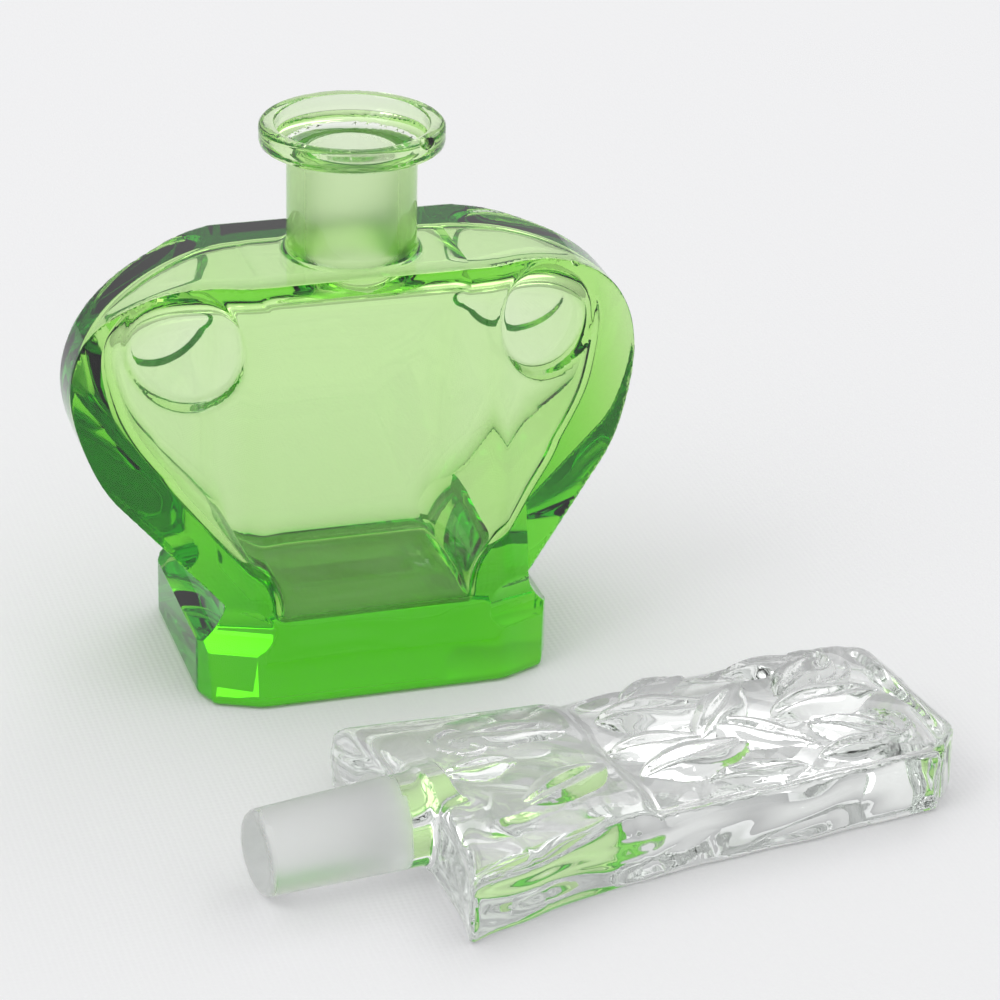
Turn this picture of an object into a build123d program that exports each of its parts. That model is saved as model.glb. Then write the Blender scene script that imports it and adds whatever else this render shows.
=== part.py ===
"""Two-piece cut-glass perfume flacon: a hollow green bottle and its clear ground-in stopper.

The bottle stands on the table with its stopper lying in front of it, as it does while in use.
Origin: centre of the bottle's foot, on the table. X runs across the front, Y to the back, Z up.
"""

from build123d import *
import os
from math import cos, radians, sin, sqrt, tan

# ---------------------------------------------------------------- bottle: driving sizes (mm)
FOOT_HALF_DEPTH = 21.5      # centre to front facet, at the table
TOP_HALF_DEPTH = 13.5       # the same at the flat top
TOP_Z = 67.0                # flat top of the body
FRONT_HALF_WIDTH = 19.5     # half width of the plain middle facet
SIDE_SLOPE = 0.45           # side facets: depth lost for each mm of width
WAIST_X = 24.3              # narrowest point, between body and foot
WAIST_Z = 16.6

FOOT_HALF_WIDTH = 28.2
FOOT_CORNER_X = 26.4        # where the foot's corner facet leaves the side facet
FOOT_CORNER_Y = 14.2        # where it meets the end plane
FOOT_END_TOP = 9.8          # top of the end planes
FOOT_COVE_RADIUS = 9.0      # hollow curve from the end plane up to the waist
FOOT_BEVEL = 0.6

WHEEL_RADIUS = 7.0          # wheel cuts above the foot's corners
WHEEL_LOW_Z = 9.6           # their lower edge, level along the side facet
WHEEL_START = 6.0           # how far before the side facet's inner edge a cut starts
WHEEL_RUN = 30.0            # long enough to leave the glass at the end
LENS_X = 28.5               # round lens cuts high on the side facets
LENS_Z = 56.5
LENS_RADIUS = 9.6
LENS_DEPTH = 0.9            # at the middle of the cut
LENS_TILT = 0.085           # extra depth for each mm towards the middle of the bottle
LENS_WALL = 52.0            # slope of the cut's wall from upright, degrees
LENS_TOOL = 2.4             # the cutting shape, below the facet
LENS_CLEAR = 6.0            # the cutting shape, above the facet

NECK_RADIUS = 10.0
NECK_FILLET = 1.2
NECK_ROOT = 1.5             # start of the neck above the hollow's ceiling
LIP_RADIUS = 14.2
LIP_UNDER_Z = 82.9          # where the neck flares into the lip
LIP_TAPER = 0.9             # rise of the lip's underside
LIP_SOFT = 0.7              # polished edges of the lip
HEIGHT = 87.2
MOUTH_RADIUS = 11.8         # bowl-shaped mouth
SOCKET_RADIUS = 7.1         # ground bore for the stopper's plug
SOCKET_TOP = 82.6

CAVITY_TOP = 63.6
CAVITY_FLOOR = 11.6
CAVITY_FACE_WALL = 3.8      # glass left behind the front and back facets
BORE_LAP = 1.0              # how far the bore runs on into the hollow

# ---------------------------------------------------------------- stopper: driving sizes (mm)
PLUG_LENGTH = 22.0
PLUG_ROOT_RADIUS = 6.9
PLUG_TIP_RADIUS = 6.3
PLUG_BEVEL = 1.0
COLLAR_LENGTH = 3.4         # clear neck between plug and cross block
COLLAR_ROOT = 4.0           # how far the collar runs on into the cross block
BLOCK_LENGTH = 33.0         # cross block, along the stopper
BLOCK_HORN_WIDTH = 24.5     # half width at the corners beside the plug
BLOCK_END_WIDTH = 17.6      # half width at the panel end
BLOCK_THICK = 14.0
PANEL_END = 86.0            # from the plug's root to the far end
PANEL_HALF_WIDTH = 18.8
PANEL_THICK = 8.4
PANEL_CANT = 6.5            # canted far corners
RELIEF_MARGIN = 1.6
RELIEF_RISE = 4.4           # moulded relief above the panel's face
RELIEF_DRAFT = 20.0         # slope of its sides from upright, degrees
SOFT_EDGE = 1.0             # fire-polished edges
LIE_YAW = 9.5               # the stopper's turn on the table, degrees
LIE_ROOT = (-11.6, -71.4)   # the plug's root on the table
PLUG_AXIS_Z = 7.0

# right half of the body's outline: flat top, shoulder, cheek, down to the straight flank
CHEEK = [(20.0, TOP_Z), (33.5, 64.0), (41.9, 57.6), (44.9, 49.4), (43.2, 39.0), (38.6, 30.9)]
# the same for the hollow inside
HOLLOW = [(17.0, CAVITY_TOP), (31.0, 61.5), (38.2, 55.5), (38.0, 46.6), (31.6, 34.2)]
HOLLOW_WAIST = (16.4, 16.6)
HOLLOW_FOOT = (15.6, CAVITY_FLOOR)


def half_depth(z):
    """Half the glass depth behind the middle facet at one height."""
    return FOOT_HALF_DEPTH + (TOP_HALF_DEPTH - FOOT_HALF_DEPTH) * z / TOP_Z


def facet_plan(z, wall=0.0):
    """Six-sided plan of the cut facets at one height, set in by a wall."""
    depth = half_depth(z) - wall
    tip = FRONT_HALF_WIDTH + depth / SIDE_SLOPE
    right = [(FRONT_HALF_WIDTH, -depth), (tip, 0.0), (FRONT_HALF_WIDTH, depth)]
    return right + [(-x, y) for x, y in reversed(right)]


def panel_outline(inset=0.0):
    """Outline of the stopper's panel with its two canted corners, set in by a margin."""
    near = BLOCK_LENGTH / 2
    far = PANEL_END - inset
    half = PANEL_HALF_WIDTH - inset
    left = [(far, half - PANEL_CANT), (far - PANEL_CANT, half), (near, half)]
    return [(x, -y) for x, y in reversed(left)] + left


# ---------------------------------------------------------------- cutting shapes
# front, back and four side facets, leaning in towards the top
with BuildPart() as facets:
    with BuildSketch(Plane.XY):
        Polygon(*facet_plan(0.0), align=None)
    with BuildSketch(Plane.XY.offset(HEIGHT)):
        Polygon(*facet_plan(HEIGHT), align=None)
    loft(ruled=True)

# hollow inside the body: an outline like the outside's, thinner than the facets by a wall
with BuildPart() as hollow:
    with BuildSketch(Plane.XZ):
        with BuildLine():
            Line((0.0, CAVITY_TOP), HOLLOW[0])
            Spline(HOLLOW, tangents=[(1.0, 0.0), (-1.0, -1.15)])
            Line(HOLLOW[-1], HOLLOW_WAIST)
            Line(HOLLOW_WAIST, HOLLOW_FOOT)
            Line(HOLLOW_FOOT, (0.0, CAVITY_FLOOR))
            mirror(about=Plane.YZ)
        make_face()
    extrude(amount=FOOT_HALF_DEPTH, both=True)
    with BuildSketch(Plane.XY):
        Polygon(*facet_plan(0.0, CAVITY_FACE_WALL), align=None)
    with BuildSketch(Plane.XY.offset(HEIGHT)):
        Polygon(*facet_plan(HEIGHT, CAVITY_FACE_WALL), align=None)
    loft(ruled=True, mode=Mode.INTERSECT)

# four round lens cuts: flat-bottomed, sinking towards the middle of the bottle
lean = (FOOT_HALF_DEPTH - TOP_HALF_DEPTH) / TOP_Z
lens_outward = Vector(SIDE_SLOPE, -1.0, lean).normalized()
towards_middle = Vector(-1.0, 0.0, -1.0)
towards_middle = (towards_middle - lens_outward * towards_middle.dot(lens_outward)).normalized()
lens_y = half_depth(LENS_Z) - SIDE_SLOPE * (LENS_X - FRONT_HALF_WIDTH)
lens_middle = Vector(LENS_X, -lens_y, LENS_Z)
lens_slope = tan(radians(LENS_WALL))
with BuildPart() as lens_cuts:
    with BuildSketch(Plane(origin=lens_middle - lens_outward * LENS_TOOL, z_dir=lens_outward)):
        Circle(LENS_RADIUS - LENS_TOOL * lens_slope)
    extrude(amount=LENS_TOOL + LENS_CLEAR, taper=-LENS_WALL)
    floor_outward = (lens_outward + towards_middle * LENS_TILT).normalized()
    with BuildSketch(Plane(origin=lens_middle - lens_outward * LENS_DEPTH, z_dir=floor_outward)):
        Circle(4 * LENS_RADIUS)
    extrude(amount=2 * LENS_CLEAR, mode=Mode.INTERSECT)
    mirror(about=Plane.YZ)
    mirror(about=Plane.XZ)

# ================================================================ bottle
with BuildPart() as flacon:
    # foot: an eight-sided block whose ends curve in to the waist
    with BuildSketch(Plane.XZ):
        with BuildLine():
            Line((0.0, 0.0), (FOOT_HALF_WIDTH, 0.0))
            Line((FOOT_HALF_WIDTH, 0.0), (FOOT_HALF_WIDTH, FOOT_END_TOP))
            RadiusArc((FOOT_HALF_WIDTH, FOOT_END_TOP), (WAIST_X, WAIST_Z), FOOT_COVE_RADIUS)
            Line((WAIST_X, WAIST_Z), (0.0, WAIST_Z))
            mirror(about=Plane.YZ)
        make_face()
    extrude(amount=FOOT_HALF_DEPTH, both=True)
    corner_y = half_depth(0.0) - SIDE_SLOPE * (FOOT_CORNER_X - FRONT_HALF_WIDTH)
    corner = [(FOOT_CORNER_X, -corner_y), (FOOT_HALF_WIDTH, -FOOT_CORNER_Y)]
    quarter = [(FRONT_HALF_WIDTH, -FOOT_HALF_DEPTH)] + corner
    right_side = quarter + [(x, -y) for x, y in reversed(quarter)]
    with BuildSketch(Plane.XY):
        Polygon(*right_side, *[(-x, y) for x, y in reversed(right_side)], align=None)
    extrude(amount=WAIST_Z, mode=Mode.INTERSECT)

    # body: heart-shaped outline standing on the waist
    with BuildSketch(Plane.XZ):
        with BuildLine():
            Line((0.0, TOP_Z), CHEEK[0])
            Spline(CHEEK, tangents=[(1.0, 0.0), (-1.0, -1.0)])
            Line(CHEEK[-1], (WAIST_X, WAIST_Z))
            Line((WAIST_X, WAIST_Z), (0.0, WAIST_Z))
            mirror(about=Plane.YZ)
        make_face()
    extrude(amount=FOOT_HALF_DEPTH, both=True)
    add(facets.part, mode=Mode.INTERSECT)
    chamfer(flacon.faces().sort_by(Axis.Z)[0].edges(), FOOT_BEVEL)

    # wheel cuts above the foot's corners, level and along the side facets
    half_chord = (WAIST_Z - WHEEL_LOW_Z) / 2
    wheel_out = sqrt(WHEEL_RADIUS**2 - half_chord**2)
    for side in (-1, 1):
        for face in (-1, 1):
            along = Vector(side, -face * SIDE_SLOPE, 0).normalized()
            outward = Vector(side * SIDE_SLOPE, face, 0).normalized()
            wheel_z = WHEEL_LOW_Z + half_chord
            on_facet = Vector(side * FRONT_HALF_WIDTH, face * half_depth(wheel_z), wheel_z)
            start = on_facet + outward * wheel_out - along * WHEEL_START
            with BuildSketch(Plane(origin=start, z_dir=along)):
                Circle(WHEEL_RADIUS)
            extrude(amount=WHEEL_RUN, mode=Mode.SUBTRACT)

    # round lens cuts
    add(lens_cuts.part, mode=Mode.SUBTRACT)

    # neck and lip
    with BuildSketch(Plane.XZ):
        with BuildLine():
            Polyline(
                (0.0, CAVITY_TOP + NECK_ROOT),
                (NECK_RADIUS, CAVITY_TOP + NECK_ROOT),
                (NECK_RADIUS, LIP_UNDER_Z),
                (LIP_RADIUS - LIP_SOFT, LIP_UNDER_Z + LIP_TAPER),
                (LIP_RADIUS, LIP_UNDER_Z + LIP_TAPER + LIP_SOFT),
                (LIP_RADIUS, HEIGHT - LIP_SOFT),
                (LIP_RADIUS - LIP_SOFT, HEIGHT),
                (0.0, HEIGHT),
                close=True,
            )
        make_face()
    revolve(axis=Axis.Z)
    round_edges = flacon.edges().filter_by(GeomType.CIRCLE)
    root = round_edges.filter_by(lambda edge: abs(edge.center().Z - TOP_Z) < 0.01)
    fillet(root.filter_by(lambda edge: abs(edge.radius - NECK_RADIUS) < 0.01), NECK_FILLET)

    # hollow, ground bore and bowl-shaped mouth
    add(hollow.part, mode=Mode.SUBTRACT)
    bore_foot = CAVITY_TOP - BORE_LAP
    bowl_x = SOCKET_RADIUS + (MOUTH_RADIUS - SOCKET_RADIUS) * sin(radians(45))
    bowl_z = HEIGHT - (HEIGHT - SOCKET_TOP) * cos(radians(45))
    with BuildSketch(Plane.XZ):
        with BuildLine():
            Line((0.0, bore_foot), (SOCKET_RADIUS, bore_foot))
            Line((SOCKET_RADIUS, bore_foot), (SOCKET_RADIUS, SOCKET_TOP))
            ThreePointArc((SOCKET_RADIUS, SOCKET_TOP), (bowl_x, bowl_z), (MOUTH_RADIUS, HEIGHT))
            Line((MOUTH_RADIUS, HEIGHT), (0.0, HEIGHT))
            Line((0.0, HEIGHT), (0.0, bore_foot))
        make_face()
    revolve(axis=Axis.Z, mode=Mode.SUBTRACT)

# ================================================================ stopper, lying on the table
yaw = radians(LIE_YAW)
ALONG = Vector(cos(yaw), sin(yaw), 0)
table = Plane(origin=(*LIE_ROOT, 0), x_dir=ALONG, z_dir=(0, 0, 1))
turning = Plane(origin=(*LIE_ROOT, PLUG_AXIS_Z), x_dir=ALONG, z_dir=(0, 0, 1))

with BuildPart() as stopper:
    # cross block: hollowed towards the plug, narrowing towards the panel
    with BuildSketch(table):
        with BuildLine():
            ThreePointArc((0.0, -BLOCK_HORN_WIDTH), (COLLAR_LENGTH, 0.0), (0.0, BLOCK_HORN_WIDTH))
            Line((0.0, BLOCK_HORN_WIDTH), (BLOCK_LENGTH, BLOCK_END_WIDTH))
            Line((BLOCK_LENGTH, BLOCK_END_WIDTH), (BLOCK_LENGTH, -BLOCK_END_WIDTH))
            Line((BLOCK_LENGTH, -BLOCK_END_WIDTH), (0.0, -BLOCK_HORN_WIDTH))
        make_face()
    extrude(amount=BLOCK_THICK)

    # long flat panel with canted corners
    with BuildSketch(table):
        Polygon(*panel_outline(), align=None)
    extrude(amount=PANEL_THICK)

    # raised field that carries the moulded relief
    with BuildSketch(table.offset(PANEL_THICK)):
        Polygon(*panel_outline(RELIEF_MARGIN), align=None)
    extrude(amount=RELIEF_RISE, taper=RELIEF_DRAFT)
    fillet(stopper.edges().group_by(Axis.Z)[-1], SOFT_EDGE)

    # collar and tapered ground plug
    with BuildSketch(turning):
        with BuildLine():
            Polyline(
                (COLLAR_LENGTH + COLLAR_ROOT, 0.0),
                (-PLUG_LENGTH, 0.0),
                (-PLUG_LENGTH, PLUG_TIP_RADIUS - PLUG_BEVEL),
                (-PLUG_LENGTH + PLUG_BEVEL, PLUG_TIP_RADIUS),
                (0.0, PLUG_ROOT_RADIUS),
                (COLLAR_LENGTH + COLLAR_ROOT, PLUG_ROOT_RADIUS),
                close=True,
            )
        make_face()
    revolve(axis=Axis(turning.origin, ALONG))

os.makedirs("parts", exist_ok=True)
flacon.part.label = "flacon"
export_step(flacon.part, "parts/flacon.step")
stopper.part.label = "stopper"
export_step(stopper.part, "parts/stopper.step")
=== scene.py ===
"""Looks for a green cut-glass perfume flacon and its clear pressed-glass stopper."""

import math

import bpy
import numpy as np
from mathutils import Matrix, Vector


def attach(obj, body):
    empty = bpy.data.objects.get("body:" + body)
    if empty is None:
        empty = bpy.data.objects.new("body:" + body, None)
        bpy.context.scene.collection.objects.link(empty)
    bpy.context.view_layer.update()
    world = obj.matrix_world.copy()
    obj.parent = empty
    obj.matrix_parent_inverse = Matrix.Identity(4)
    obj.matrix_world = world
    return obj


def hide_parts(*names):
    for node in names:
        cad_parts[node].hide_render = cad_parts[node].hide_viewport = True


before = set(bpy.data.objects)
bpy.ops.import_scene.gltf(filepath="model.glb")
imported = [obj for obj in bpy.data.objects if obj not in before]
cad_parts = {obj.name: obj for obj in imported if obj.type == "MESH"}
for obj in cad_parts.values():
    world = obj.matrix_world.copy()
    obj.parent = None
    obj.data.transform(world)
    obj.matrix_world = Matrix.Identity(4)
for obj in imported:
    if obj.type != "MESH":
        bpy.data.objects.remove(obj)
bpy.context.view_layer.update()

# ------------------------------------------------------------------------------------------ bottle
# The bottle: one piece of green glass, blown hollow in a mould. Its leaning facets, foot corners,
# wheel cuts and four lens cuts are ground and polished on the wheel, and the neck's bore is ground
# matt to fit the plug. Lengths are in millimetres, and MM turns them into metres.
MM = 0.001
FOOT_HALF_DEPTH = 21.5
TOP_HALF_DEPTH = 13.5
TOP_Z = 67.0
FRONT_HALF_WIDTH = 19.5
SIDE_SLOPE = 0.45
LEAN = (FOOT_HALF_DEPTH - TOP_HALF_DEPTH) / TOP_Z
SIDE_NORM = math.sqrt(1 + SIDE_SLOPE**2 + LEAN**2)
WAIST = (24.3, 16.6)
CHEEK = [(20.0, 67.0), (33.5, 64.0), (41.9, 57.6), (44.9, 49.4), (43.2, 39.0), (38.6, 30.9)]
CHEEK_CENTRE = 45.0
FOOT_CORNER = ((28.2, 14.2), (26.4, 18.4))
FOOT_HALF_WIDTH = 28.2
COVE_CENTRE = (33.3, 17.2)
COVE_RADIUS = 9.0
COVE_LOW_Z = 9.8
WHEEL_Z = 13.1
WHEEL_RADIUS = 7.0
WHEEL_HALF_HEIGHT = 3.5
LENS_PLACE = (28.5, 56.5)
LENS_RADIUS = 9.6
LENS_DEPTH = 1.1
LENS_TILT = 0.085
LENS_WALL = 0.9
NECK_RADIUS = 10.0
NECK_LOW_Z = 64.0
NECK_HIGH_Z = 85.0
LIP_RADIUS = 14.2
LIP_UNDER_Z = 82.9
LIP_TAPER = 0.24
BOTTLE_TOP = 87.2
CHIPS = [
    # middle of the chip (x, y, z) and its radius: one on the lip, one on a shoulder
    ((9.5, -11.7, 88.0), 2.3),
    ((34.5, -7.9, 64.4), 1.5),
]
HOLLOW = [(17.0, 63.6), (31.0, 61.5), (38.2, 55.5), (38.0, 46.6), (31.6, 34.2)]
HOLLOW_WAIST = (16.4, 16.6)
HOLLOW_FOOT = ((16.2, 11.6), (16.6, 17.0))
HOLLOW_TOP = 63.6
HOLLOW_FLOOR = 11.4
WALL = 3.8
BORE_RADIUS = 7.1
BORE_LOW_Z = 60.0
BOWL_Z = 87.3
BOWL_RADIUS = 4.7
MOUTH_RADIUS = 11.8
GROUND_RADIUS = 7.5
GROUND_LOW_Z = 65.0
GROUND_HIGH_Z = 82.4
# how wide each edge is rounded: nearly sharp where it was cut, soft where it was moulded
TOP_EDGE = 0.25
OUTLINE_EDGE = 0.3
FACET_EDGE = 0.5
CORNER_EDGE = 0.2
FOOT_EDGE = 1.4
WHEEL_EDGE = 0.1
LENS_EDGE = 0.4
LENS_FLOOR_EDGE = 0.6
NECK_ROOT = 1.6
LIP_ROOT = 0.5
LIP_EDGE = 0.9
CHIP_EDGE = 0.1
HOLLOW_EDGE = 2.0
HOLLOW_TOP_EDGE = 2.4
HOLLOW_FLOOR_EDGE = 1.8
HOLLOW_RIM_EDGE = 4.0
BORE_ROOT = 1.6
BOWL_ROOT = 0.5
MOUTH_EDGE = 0.6


def smooth_curve(points, start, end, count=400):
    """Cubic curve through the points, timed by the distance between them and bending evenly, with
    given directions at both ends: each stretch is a cubic, and speeds at the points are chosen so
    that the bend runs on through them."""
    p = np.array(points, float)
    gap = np.linalg.norm(np.diff(p, axis=0), axis=1)
    size = len(p)
    matrix = np.eye(size)
    right = np.zeros_like(p)
    right[0] = np.array(start) / np.linalg.norm(start)
    right[-1] = np.array(end) / np.linalg.norm(end)
    for i in range(1, size - 1):
        before, after = gap[i - 1], gap[i]
        matrix[i, i - 1 : i + 2] = after, 2 * (before + after), before
        right[i] = 3 * (after * (p[i] - p[i - 1]) / before + before * (p[i + 1] - p[i]) / after)
    speed = np.linalg.solve(matrix, right)
    knots = np.concatenate([[0.0], np.cumsum(gap)])
    t = np.linspace(0.0, knots[-1], count)
    part = np.clip(np.searchsorted(knots, t, side="right") - 1, 0, size - 2)
    span = gap[part]
    s = ((t - knots[part]) / span)[:, None]
    h = span[:, None]
    return (
        p[part] * (1 + 2 * s) * (1 - s) ** 2
        + speed[part] * h * s * (1 - s) ** 2
        + p[part + 1] * s**2 * (3 - 2 * s)
        + speed[part + 1] * h * s**2 * (s - 1)
    )


def round_table(points, start, end, centre_z):
    """Distance of a curve from a centre on the mid line, for each angle from straight up. Past its
    last point it runs straight on and eases away outwards, so that it bounds nothing there."""
    onward, outward = 22.0, 10.0
    curve = smooth_curve(points, start, end)
    run = np.array(end) / np.linalg.norm(end)
    share = np.linspace(0.0, 1.0, 60)[1:, None]
    tail = curve[-1] + onward * share * run
    tail = tail + outward * share * np.array([1.0, -1.0]) * math.sqrt(0.5)
    curve = np.concatenate([curve, tail])
    angle = np.arctan2(curve[:, 0], curve[:, 1] - centre_z)
    return angle, np.hypot(curve[:, 0], curve[:, 1] - centre_z)


CHEEK_TABLE = round_table(CHEEK, (1.0, 0.0), (-1.0, -1.0), CHEEK_CENTRE)
HOLLOW_TABLE = round_table(HOLLOW, (1.0, 0.0), (-1.0, -1.15), CHEEK_CENTRE)


def both(a, b, soft=0.0):
    """Inside both solids: the larger of two distances, with the edge rounded off by soft."""
    if soft == 0.0:
        return np.maximum(a, b)
    near = np.maximum(soft - np.abs(a - b), 0.0) / soft
    return np.maximum(a, b) + 0.25 * soft * near**2


def either(a, b, soft=0.0):
    """Inside either solid: the smaller of two distances, with the inner corner filled by soft."""
    return -both(-a, -b, soft)


def side_curve(ax, z, table):
    """Distance outside a cheek curve: how far the point lies beyond the curve at its angle."""
    angle = np.arctan2(ax, z - CHEEK_CENTRE)
    return np.hypot(ax, z - CHEEK_CENTRE) - np.interp(angle, *table)


def facets(ax, ay, z, wall=0.0):
    """Outside distance of the leaning front facet and side facet, set in by a wall."""
    depth = FOOT_HALF_DEPTH - LEAN * z - wall
    front = (ay - depth) / math.hypot(1.0, LEAN)
    side = (ay - depth + SIDE_SLOPE * (ax - FRONT_HALF_WIDTH)) / SIDE_NORM
    return front, side


def line_cut(u, v, a, b):
    """Distance to the right-hand side of the line from a to b."""
    run = np.array(b, float) - np.array(a, float)
    run /= np.linalg.norm(run)
    return (u - a[0]) * run[1] - (v - a[1]) * run[0]


def bottle_solid(x, y, z):
    """The bottle as a signed field: negative in the glass. It is the body or the foot, cut by the
    facets, lens cuts and wheel cuts, joined to the neck and lip, less the hollow and the bore."""
    ax, ay = np.abs(x), np.abs(y)
    r = np.hypot(x, y)
    front, side = facets(ax, ay, z)
    flank = (ax - WAIST[0] - z + WAIST[1]) * math.sqrt(0.5)
    body = both(both(side_curve(ax, z, CHEEK_TABLE), flank), z - TOP_Z, TOP_EDGE)
    # foot: end planes, cut corners, and the cove up to the waist
    cove = COVE_RADIUS - np.hypot(ax - COVE_CENTRE[0], z - COVE_CENTRE[1])
    end = np.where(z < COVE_LOW_Z, ax - FOOT_HALF_WIDTH, np.maximum(cove, z - WAIST[1]))
    corner = line_cut(ax, ay, *FOOT_CORNER)
    foot = both(both(end, corner, CORNER_EDGE), z - WAIST[1])
    solid = both(either(body, foot), both(front, side, FACET_EDGE), OUTLINE_EDGE)
    solid = both(solid, -z, FOOT_EDGE)
    # wheel cuts over the foot's corners
    out = math.sqrt(WHEEL_RADIUS**2 - WHEEL_HALF_HEIGHT**2)
    past_front = ay - FOOT_HALF_DEPTH + LEAN * WHEEL_Z
    normal = np.array([SIDE_SLOPE, 1.0]) / math.hypot(SIDE_SLOPE, 1.0)
    away = (ax - FRONT_HALF_WIDTH) * normal[0] + past_front * normal[1]
    solid = both(solid, WHEEL_RADIUS - np.hypot(away - out, z - WHEEL_Z), WHEEL_EDGE)
    # lens cuts: round, flat-bottomed, sinking towards the middle of the bottle
    place_x, place_z = LENS_PLACE
    depth = FOOT_HALF_DEPTH - LEAN * place_z - SIDE_SLOPE * (place_x - FRONT_HALF_WIDTH)
    normal = np.array([SIDE_SLOPE, 1.0, LEAN]) / SIDE_NORM
    inward = np.array([-1.0, 0.0, -1.0])
    inward -= normal * (inward @ normal)
    inward /= np.linalg.norm(inward)
    du, dv, dw = ax - place_x, ay - depth, z - place_z
    above = du * normal[0] + dv * normal[1] + dw * normal[2]
    along = du * inward[0] + dv * inward[1] + dw * inward[2]
    ring = np.sqrt(np.maximum(du**2 + dv**2 + dw**2 - above**2, 0.0))
    rim = (ring - LENS_RADIUS - LENS_WALL * above) / math.hypot(1.0, LENS_WALL)
    lens = both(rim, -above - LENS_DEPTH - LENS_TILT * along, LENS_FLOOR_EDGE)
    solid = both(solid, -lens, LENS_EDGE)
    # neck and lip
    neck = both(r - NECK_RADIUS, z - NECK_HIGH_Z)
    neck = both(neck, NECK_LOW_Z - z)
    under = ((r - NECK_RADIUS) * LIP_TAPER - (z - LIP_UNDER_Z)) / math.hypot(1.0, LIP_TAPER)
    lip = both(both(r - LIP_RADIUS, z - BOTTLE_TOP, LIP_EDGE), under, LIP_EDGE)
    solid = either(either(solid, neck, NECK_ROOT), lip, LIP_ROOT)
    for middle, size in CHIPS:
        away = (x - middle[0]) ** 2 + (y - middle[1]) ** 2 + (z - middle[2]) ** 2
        solid = both(solid, size - np.sqrt(away), CHIP_EDGE)
    # hollow, bore and flared mouth
    inner_front, inner_side = facets(ax, ay, z, WALL)
    inner_flank = line_cut(ax, z, HOLLOW_WAIST, HOLLOW[-1])
    inner_flank = either(inner_flank, line_cut(ax, z, *HOLLOW_FOOT), HOLLOW_EDGE)
    uneven = 0.10 * np.sin(0.33 * x + 0.2 * z) * np.sin(0.27 * z - 0.1 * y)
    hollow = both(side_curve(ax, z, HOLLOW_TABLE), inner_flank, HOLLOW_EDGE) + uneven
    hollow = both(hollow, z - HOLLOW_TOP, HOLLOW_TOP_EDGE)
    hollow = both(hollow, HOLLOW_FLOOR - z, HOLLOW_FLOOR_EDGE)
    hollow = both(hollow, both(inner_front, inner_side, HOLLOW_EDGE), HOLLOW_RIM_EDGE)
    bore = both(r - BORE_RADIUS, BORE_LOW_Z - z)
    ripple = 0.02 * np.sin(4.2 * r)
    bowl = np.hypot(np.maximum(r - BORE_RADIUS, 0.0), z - BOWL_Z) - BOWL_RADIUS + ripple
    bowl = np.where(z > BOWL_Z, r - MOUTH_RADIUS, bowl)
    hollow = either(either(hollow, bore, BORE_ROOT), bowl, BOWL_ROOT)
    return both(solid, -hollow, MOUTH_EDGE)


def steepest(solid, points, step=0.01):
    """Unit direction in which the field grows, from its values a small step either way."""
    rise = np.empty_like(points)
    for axis in range(3):
        shift = np.zeros(3)
        shift[axis] = step
        ahead, behind = points + shift, points - shift
        rise[:, axis] = solid(*ahead.T) - solid(*behind.T)
    return rise / np.maximum(np.linalg.norm(rise, axis=1, keepdims=True), 1e-12)


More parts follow.
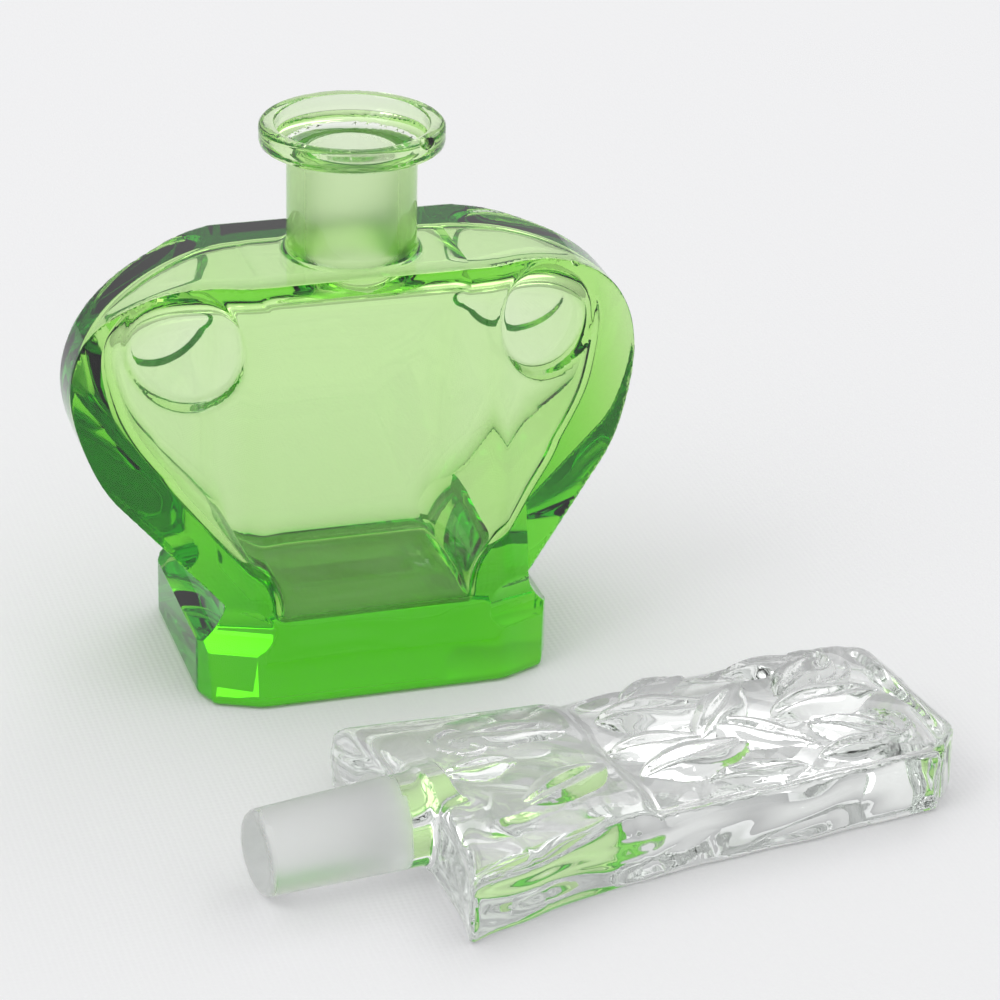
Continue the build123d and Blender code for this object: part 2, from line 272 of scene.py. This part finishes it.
def skin(solid, low, high, cell):
    """Closed skin of a solid given as a field. Space is a grid of cubes. Where the field changes
    sign along a cube's edge the skin passes, and the four cubes round that edge give one face. A
    cube's corner point is where the flat planes touching the skin at its crossed edges meet, so
    cut edges stay straight and sharp. Returns points and four-sided faces."""
    tries, margin = 6, 0.02
    stiffness, slack = 0.03, 0.1
    low = np.array(low, float)
    axes = [np.arange(low[i], high[i] + cell, cell) for i in range(3)]
    shape = np.array([len(a) for a in axes])
    value = solid(*np.meshgrid(*axes, indexing="ij"))
    inside = value < 0.0
    cells = int(np.prod(shape))
    sums = np.zeros((13, cells))
    faces = []
    for axis in range(3):
        near = np.moveaxis(inside, axis, 0)[:-1]
        far = np.moveaxis(inside, axis, 0)[1:]
        index = np.argwhere(np.moveaxis(near != far, 0, axis))
        step = np.eye(3, dtype=int)[axis]
        a = value[tuple(index.T)]
        b = value[tuple((index + step).T)]
        t0, t1 = np.zeros(len(a)), np.ones(len(a))
        t = a / (a - b)
        for _ in range(tries):
            point = low + cell * (index + t[:, None] * step)
            now = solid(*point.T)
            same = (now < 0) == (a < 0)
            t0, t1 = np.where(same, t, t0), np.where(same, t1, t)
            a_now, b_now = np.where(same, now, a), np.where(same, b, now)
            a, b = a_now, b_now
            guess = t0 + (t1 - t0) * a / np.where(np.abs(a - b) < 1e-15, 1e-15, a - b)
            t = np.clip(guess, t0 + margin * (t1 - t0), t1 - margin * (t1 - t0))
        point = low + cell * (index + t[:, None] * step)
        normal = steepest(solid, point)
        reach = (normal * point).sum(1)
        nx, ny, nz = normal.T
        # squares and products of the normal, its reach along each axis, the point, and a count
        rows = [nx**2, ny**2, nz**2, nx * ny, nx * nz, ny * nz, nx * reach, ny * reach, nz * reach]
        rows += [*point.T, np.ones(len(point))]
        one, two = (axis + 1) % 3, (axis + 2) % 3
        ring = []
        for back_one, back_two in ((1, 1), (0, 1), (0, 0), (1, 0)):
            cube = index.copy()
            cube[:, one] -= back_one
            cube[:, two] -= back_two
            flat = np.ravel_multi_index(tuple(cube.T), shape)
            ring.append(flat)
            for row, weight in enumerate(rows):
                sums[row] += np.bincount(flat, weight, cells)
        ring = np.stack(ring, 1)
        outward = inside[tuple(index.T)]
        faces.append(np.where(outward[:, None], ring, ring[:, ::-1]))
    used = np.flatnonzero(sums[12] > 0)
    s = sums[:, used]
    count = s[12]
    middle = (s[9:12] / count).T
    square = np.empty((len(used), 3, 3))
    square[:, 0, 0], square[:, 1, 1], square[:, 2, 2] = s[0], s[1], s[2]
    square[:, 0, 1] = square[:, 1, 0] = s[3]
    square[:, 0, 2] = square[:, 2, 0] = s[4]
    square[:, 1, 2] = square[:, 2, 1] = s[5]
    pull = s[6:9].T - np.einsum("nij,nj->ni", square, middle)
    square += np.eye(3) * (stiffness * count)[:, None, None]
    move = np.linalg.solve(square, pull[:, :, None])[:, :, 0]
    cube = np.stack(np.unravel_index(used, shape), 1)
    floor = low + cell * cube
    points = np.clip(middle + move, floor - slack * cell, floor + (1.0 + slack) * cell)
    points[:, 2] = np.clip(points[:, 2], 0.0, BOTTLE_TOP)
    number = np.full(cells, -1)
    number[used] = np.arange(len(used))
    return points, number[np.concatenate(faces)]


def glass_piece(name, solid, points, faces, material, ground):
    """Mesh object from a skin, in metres, with each corner's shading direction taken from the
    field: one direction at a smooth point, and each face's own at a cut edge. The points of
    ground, matt surfaces are marked 1 and polished ones 0."""
    inward = 0.3
    crease = math.radians(9.0)
    mesh = bpy.data.meshes.new(name)
    mesh.from_pydata(points * MM, [], faces)
    mesh.materials.append(material)
    mark = mesh.attributes.new("ground", "FLOAT", "POINT")
    mark.data.foreach_set("value", ground(points).astype(np.float32))
    centre = points[faces].mean(1)
    corner = points[faces]
    sample = corner + inward * (centre[:, None, :] - corner)
    direction = steepest(solid, sample.reshape(-1, 3))
    vertex = faces.reshape(-1)
    total = np.zeros_like(points)
    for axis in range(3):
        total[:, axis] = np.bincount(vertex, direction[:, axis], len(points))
    total /= np.maximum(np.linalg.norm(total, axis=1, keepdims=True), 1e-12)
    agree = (direction * total[vertex]).sum(1)
    worst = np.full(len(points), 1.0)
    np.minimum.at(worst, vertex, agree)
    smooth = worst[vertex] > math.cos(crease)
    direction = np.where(smooth[:, None], total[vertex], direction)
    mesh.polygons.foreach_set("use_smooth", np.ones(len(faces), bool))
    mesh.update()
    mesh.normals_split_custom_set(direction.tolist())
    piece = bpy.data.objects.new(name, mesh)
    bpy.context.scene.collection.objects.link(piece)
    return piece


GLASS_IOR = 1.52


def new_glass(name, colour, density, matt):
    """Solid glass: a clear surface, polished or matt where marked as ground, and colour taken from
    the light along its way."""
    material = bpy.data.materials.new(name)
    material.use_nodes = True
    nodes, links = material.node_tree.nodes, material.node_tree.links
    surface = nodes["Principled BSDF"]
    surface.inputs["Base Color"].default_value = (1.0, 1.0, 1.0, 1.0)
    surface.inputs["Transmission Weight"].default_value = 1.0
    mark = nodes.new("ShaderNodeAttribute")
    mark.attribute_name = "ground"
    scale = nodes.new("ShaderNodeMath")
    scale.operation = "MULTIPLY"
    scale.inputs[1].default_value = matt
    links.new(mark.outputs["Fac"], scale.inputs[0])
    links.new(scale.outputs["Value"], surface.inputs["Roughness"])
    surface.inputs["IOR"].default_value = GLASS_IOR
    body = nodes.new("ShaderNodeVolumeAbsorption")
    body.inputs["Color"].default_value = (*colour, 1.0)
    body.inputs["Density"].default_value = density
    links.new(body.outputs["Volume"], nodes["Material Output"].inputs["Volume"])
    return material


GREEN = (0.51, 0.91, 0.02)
GREEN_DENSITY = 110.0
BORE_MATT = 0.38
BOTTLE_CELL = 0.62
BOTTLE_SPACE = ((-47.1, -23.3, -1.7), (47.1, 23.3, 88.9))
green_glass = new_glass("green_glass", GREEN, GREEN_DENSITY, BORE_MATT)
points, faces = skin(bottle_solid, *BOTTLE_SPACE, BOTTLE_CELL)


def ground_bore(p):
    """1 for the points inside the bore that the stopper was ground to fit, 0 elsewhere."""
    near = np.hypot(p[:, 0], p[:, 1]) < GROUND_RADIUS
    return near & (p[:, 2] > GROUND_LOW_Z) & (p[:, 2] < GROUND_HIGH_Z)


bottle = glass_piece("cut_glass_flacon", bottle_solid, points, faces, green_glass, ground_bore)
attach(bottle, "bottle")
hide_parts("flacon")

# ----------------------------------------------------------------------------------------- stopper
# The stopper: one piece of clear glass, pressed in a mould and fire-polished, so its edges are soft
# and its faces a little wavy. Leaves, scrolls and waves stand up from its upper face, and its plug
# is ground to seat in the neck. It lies on its flat back, turned a little on the table.
YAW = math.radians(9.5)
ROOT = (-11.6, -71.4)
PLUG_Z = 7.0
PLUG_RADIUS = 6.9
PLUG_TAPER = 0.027
PLUG_LENGTH = 22.0
COLLAR_RADIUS = 6.6
BLOCK_FLANK = ((24.5, 0.0), (17.6, 33.0))
BLOCK_LENGTH = 33.0
BLOCK_TOP = 11.8
HORN_RADIUS = 90.0
HORN_DEPTH = 3.4
STOPPER_END = 86.0
PANEL_HALF_WIDTH = 18.8
PANEL_START = 15.0
PANEL_FACE = 7.6
PANEL_HIGHEST = 13.7
PANEL_CANT = ((18.8, 79.5), (12.3, 86.0))
NOTCH = (80.6, 16.2)
# how wide each moulded edge is rounded by the fire
BLOCK_EDGE = 1.0
BLOCK_END_EDGE = 2.2
BLOCK_TOP_EDGE = 2.4
BLOCK_UNDER_EDGE = 1.2
PANEL_EDGE = 1.0
PANEL_CANT_EDGE = 0.8
PANEL_TOP_EDGE = 1.4
NOTCH_EDGE = 0.5
HEAD_JOIN = 1.6
COLLAR_JOIN = 1.5
COLLAR_EDGE = 0.3
PLUG_BEVEL = 1.4
PLUG_STEP = 0.15
UNDER_EDGE = 0.4


def leaf(u, v, place, turn, length, width, height):
    """A pointed leaf lying on the face: widest at its middle, arched across, with a sunk midrib."""
    cos_t, sin_t = math.cos(turn), math.sin(turn)
    along = ((u - place[0]) * cos_t + (v - place[1]) * sin_t) / length
    across = (-(u - place[0]) * sin_t + (v - place[1]) * cos_t) / width
    inside = np.clip(along, 0.0, 1.0)
    half = np.sin(math.pi * inside**0.8) + 1e-3
    arch = np.clip(1.0 - (across / half) ** 2, 0.0, None)
    rib = 0.35 * np.exp(-((across / 0.16) ** 2))
    vein = 0.06 * np.sin(10.0 * along - 5.0 * np.abs(across))
    hump = height * arch**0.7 * np.sqrt(half) * (1.0 - rib + vein)
    return np.where((along > 0) & (along < 1), hump, 0.0)


def scroll(u, v, place, turn, pitch, size, height):
    """A scroll: a round ridge winding out from its eye, a fixed step further at each turn."""
    r = np.hypot(u - place[0], v - place[1])
    angle = (np.arctan2(v - place[1], u - place[0]) - turn) / (2 * math.pi)
    off = r / pitch - angle
    off = (off - np.round(off)) * pitch
    fade = np.clip((size - r) / 1.5, 0.0, 1.0)
    return height * fade * np.exp(-((off / 0.9) ** 2))


LEAVES = [
    # place (u, v), turn in degrees, length, half width, height
    ((35.0, -8.0), 8.0, 22.0, 5.2, 4.0),
    ((36.0, 8.5), -10.0, 22.0, 5.4, 4.3),
    ((48.0, -2.0), 42.0, 19.0, 4.6, 4.0),
    ((50.0, 2.5), -42.0, 20.0, 4.6, 3.8),
    ((61.0, 0.0), 4.0, 20.0, 5.2, 4.6),
    ((65.0, -4.0), -34.0, 16.0, 4.0, 3.6),
    ((65.0, 4.5), 36.0, 15.0, 4.0, 3.6),
    ((42.0, 12.0), 18.0, 15.0, 3.6, 3.6),
    ((44.0, -12.5), -6.0, 17.0, 3.4, 3.2),
    ((60.0, 13.5), -6.0, 17.0, 3.2, 3.6),
    ((62.0, -13.0), 4.0, 16.0, 3.2, 3.0),
    ((34.0, 0.0), -4.0, 17.0, 4.2, 3.0),
    ((31.0, 6.0), 165.0, 20.0, 4.6, 2.2),
    ((31.0, -5.0), -160.0, 19.0, 4.6, 2.0),
    ((20.0, 1.0), 178.0, 14.0, 3.8, 1.8),
]
SCROLLS = [
    # eye (u, v), turn in degrees, step, size, height
    ((74.0, 10.0), 40.0, 3.4, 6.5, 2.6),
    ((75.0, -9.0), 200.0, 3.4, 6.0, 2.3),
    ((14.0, 10.0), 120.0, 3.2, 5.5, 1.2),
]


def relief(u, v):
    """Height of the moulded ornament above the face: the highest of its leaves and scrolls, over
    low rolling waves."""
    height = 0.7 + 0.5 * np.sin(0.42 * u + 1.3 * np.sin(0.21 * v)) * np.cos(0.33 * v + 0.1 * u)
    for place, turn, length, width, rise in LEAVES:
        height = np.maximum(height, leaf(u, v, place, math.radians(turn), length, width, rise))
    for place, turn, pitch, size, rise in SCROLLS:
        height = np.maximum(height, scroll(u, v, place, math.radians(turn), pitch, size, rise))
    return height


def own_directions(x, y):
    """Lengthwise and crosswise places on the stopper, measured from the root of its plug."""
    u = (x - ROOT[0]) * math.cos(YAW) + (y - ROOT[1]) * math.sin(YAW)
    v = -(x - ROOT[0]) * math.sin(YAW) + (y - ROOT[1]) * math.cos(YAW)
    return u, v


def stopper_solid(x, y, z):
    """The stopper as a signed field, in its own lengthwise, crosswise and upright directions:
    the cross block or the panel, rounded at the edges, joined to the collar and the ground plug."""
    u, v = own_directions(x, y)
    w = z
    av = np.abs(v)
    wave = 0.12 * np.sin(0.5 * u + 0.3 * v) + 0.10 * np.sin(0.9 * w - 0.25 * u)
    ornament = relief(u, v)
    # cross block
    horns = HORN_RADIUS - np.hypot(u - HORN_DEPTH + HORN_RADIUS, v)
    flank = line_cut(av, u, *BLOCK_FLANK)
    clear_edge = np.clip((17.0 - av) / 4.0, 0.0, 1.0) * np.clip((u - 4.0) / 4.0, 0.0, 1.0)
    pillow = BLOCK_TOP - 0.9 * (av / 20.0) ** 2 + 0.8 * ornament * clear_edge
    flutes = 0.22 * np.sin(1.05 * w + 0.10 * u + 0.8) * np.clip(u / 4.0, 0.0, 1.0)
    block = both(horns + wave, flank + wave + flutes, BLOCK_EDGE)
    block = both(block, u - BLOCK_LENGTH, BLOCK_END_EDGE)
    block = both(both(block, w - pillow, BLOCK_TOP_EDGE), -w, BLOCK_UNDER_EDGE)
    # panel
    edge_fall = np.clip((av - 15.6) / 2.6, 0.0, 1.0)
    dome = 2.4 * (1.0 - np.clip(av / 18.6, 0.0, 1.0) ** 6) + 1.2 * np.clip(v / 14.0, 0.0, 1.0)
    rib = 1.6 * np.exp(-(((u - 83.6) / 1.7) ** 2)) * np.clip(1.0 - (av / 16.0) ** 2, 0.0, 1.0)
    bead = 0.9 * np.exp(-(((av - 17.4) / 0.8) ** 2))
    face = PANEL_FACE + dome + np.maximum(0.62 * ornament * (1.0 - edge_fall), rib) + bead * (v < 0)
    face = np.minimum(face, PANEL_HIGHEST)
    sides = av - PANEL_HALF_WIDTH + 0.08 * w
    canted = line_cut(av, u, *PANEL_CANT)
    panel = both(sides + wave, u - STOPPER_END, PANEL_EDGE)
    panel = both(panel, canted, PANEL_CANT_EDGE)
    panel = both(panel, PANEL_START - u)
    panel = both(panel, -both(NOTCH[0] - u, NOTCH[1] - av), NOTCH_EDGE)
    panel = both(both(panel, (w - face) * 0.85, PANEL_TOP_EDGE), -w, PANEL_EDGE)
    head = either(block, panel, HEAD_JOIN)
    # collar and tapered ground plug
    rr = np.hypot(v, w - PLUG_Z)
    taper = PLUG_RADIUS + PLUG_TAPER * np.clip(u, -30.0, 0.0)
    plug = both(both(rr - taper, -PLUG_LENGTH - u, PLUG_BEVEL), u - 5.0)
    flare = 0.05 * np.clip(u, 0.0, 4.0) ** 2
    collar = both(both(rr - COLLAR_RADIUS - flare, -u, COLLAR_EDGE), u - 7.0)
    collar = both(collar, -w)
    whole = either(either(head, collar, COLLAR_JOIN), plug, PLUG_STEP)
    return both(whole, -w, UNDER_EDGE)


def ground_plug(p):
    """1 for the points on the ground part of the plug, 0 elsewhere."""
    u, _ = own_directions(p[:, 0], p[:, 1])
    return (u < -0.3) & (u > 1.0 - PLUG_LENGTH)


CLEAR = (0.30, 0.70, 0.35)
CLEAR_DENSITY = 1.5
PLUG_MATT = 0.5
STOPPER_CELL = 0.66
STOPPER_SPACE = ((-40.1, -102.3, -1.7), (80.3, -28.1, 17.1))
clear_glass = new_glass("clear_glass", CLEAR, CLEAR_DENSITY, PLUG_MATT)
points, faces = skin(stopper_solid, *STOPPER_SPACE, STOPPER_CELL)
stopper = glass_piece(
    "pressed_glass_stopper", stopper_solid, points, faces, clear_glass, ground_plug
)
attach(stopper, "loose_stopper")
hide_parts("stopper")

# ------------------------------------------------------------------------------ table, light, view
# The table: a wide pale sheet of woven paper, laid flat. Glass that stands on it touches at a few
# points only, so the sheet lies a hair below the glass. Soft light comes from all round, with two
# square diffusing panels hung over the table.
HALF_SIDE = 3.0
GAP = 0.00015
corners = [(-1, -1), (1, -1), (1, 1), (-1, 1)]
mesh = bpy.data.meshes.new("table")
mesh.from_pydata([(HALF_SIDE * x, HALF_SIDE * y, -GAP) for x, y in corners], [], [(0, 1, 2, 3)])
table = bpy.data.objects.new("table", mesh)
bpy.context.scene.collection.objects.link(table)
paper = bpy.data.materials.new("paper")
paper.use_nodes = True
nodes, links = paper.node_tree.nodes, paper.node_tree.links
sheet = nodes["Principled BSDF"]
sheet.inputs["Base Color"].default_value = (0.84, 0.84, 0.85, 1.0)
sheet.inputs["Roughness"].default_value = 0.9
place = nodes.new("ShaderNodeTexCoord")
weave = nodes.new("ShaderNodeMath")
weave.operation = "ADD"
for index, bands in enumerate(("X", "Y")):
    thread = nodes.new("ShaderNodeTexWave")
    thread.bands_direction = bands
    thread.inputs["Scale"].default_value = 330.0
    thread.inputs["Distortion"].default_value = 1.5
    thread.inputs["Detail Scale"].default_value = 0.3
    links.new(place.outputs["Object"], thread.inputs["Vector"])
    links.new(thread.outputs["Fac"], weave.inputs[index])
bump = nodes.new("ShaderNodeBump")
bump.inputs["Strength"].default_value = 0.12
bump.inputs["Distance"].default_value = 0.0002
links.new(weave.outputs["Value"], bump.inputs["Height"])
links.new(bump.outputs["Normal"], sheet.inputs["Normal"])
mesh.materials.append(paper)

scene = bpy.context.scene
world = bpy.data.worlds.new("soft_room")
world.use_nodes = True
scene.world = world
nodes, links = world.node_tree.nodes, world.node_tree.links
backdrop = nodes["Background"]
direction = nodes.new("ShaderNodeTexCoord")
split = nodes.new("ShaderNodeSeparateXYZ")
ramp = nodes.new("ShaderNodeValToRGB")
level_light, overhead_light = ramp.color_ramp.elements
level_light.position = 0.0
level_light.color = (0.65, 0.65, 0.66, 1.0)
overhead_light.position = 1.0
overhead_light.color = (1.5, 1.5, 1.5, 1.0)
links.new(direction.outputs["Generated"], split.inputs["Vector"])
links.new(split.outputs["Z"], ramp.inputs["Fac"])
links.new(ramp.outputs["Color"], backdrop.inputs["Color"])
backdrop.inputs["Strength"].default_value = 0.73


def softbox(name, place, aim, size, power):
    """A square diffusing panel of light, turned to face a point."""
    data = bpy.data.lights.new(name, "AREA")
    data.size = size
    data.energy = power
    lamp = bpy.data.objects.new(name, data)
    lamp.location = place
    lamp.rotation_euler = (Vector(aim) - Vector(place)).to_track_quat("-Z", "Y").to_euler()
    scene.collection.objects.link(lamp)


GLASS_MIDDLE = (0.0, -0.02, 0.03)
BOX_SIZE = 0.7
softbox("key_light", (-0.9, -0.3, 1.1), GLASS_MIDDLE, BOX_SIZE, 3.0)
softbox("back_light", (0.7, 0.9, 1.0), GLASS_MIDDLE, BOX_SIZE, 2.0)

# the camera: a long lens on a stand, looking down from the bottle's left, tipped a little sideways
AZIMUTH = math.radians(17.1)
ELEVATION = math.radians(25.55)
ROLL = math.radians(-1.31)
DISTANCE = 0.64165
AIM_ACROSS = 0.02363
AIM_UP = 0.02196
SENSOR_WIDTH = 36.0
LENS_LENGTH = 144.0
reach = math.cos(ELEVATION)
back = Vector((-math.sin(AZIMUTH) * reach, -math.cos(AZIMUTH) * reach, math.sin(ELEVATION)))
level = Vector((math.cos(AZIMUTH), -math.sin(AZIMUTH), 0.0))
rise = back.cross(level)
aim = level * AIM_ACROSS + rise * AIM_UP
across = level * math.cos(ROLL) - rise * math.sin(ROLL)
upward = level * math.sin(ROLL) + rise * math.cos(ROLL)
eye = aim + back * DISTANCE
data = bpy.data.cameras.new("camera")
data.sensor_width = SENSOR_WIDTH
data.lens = LENS_LENGTH
camera = bpy.data.objects.new("camera", data)
camera.matrix_world = Matrix((
    (across.x, upward.x, back.x, eye.x),
    (across.y, upward.y, back.y, eye.y),
    (across.z, upward.z, back.z, eye.z),
    (0.0, 0.0, 0.0, 1.0),
))
scene.collection.objects.link(camera)
scene.camera = camera

scene.view_settings.view_transform = "Standard"
# light crosses many glass surfaces before it leaves, so it is followed through many bounces
scene.cycles.max_bounces = 40
scene.cycles.transmission_bounces = 40
scene.cycles.glossy_bounces = 8
scene.cycles.diffuse_bounces = 3
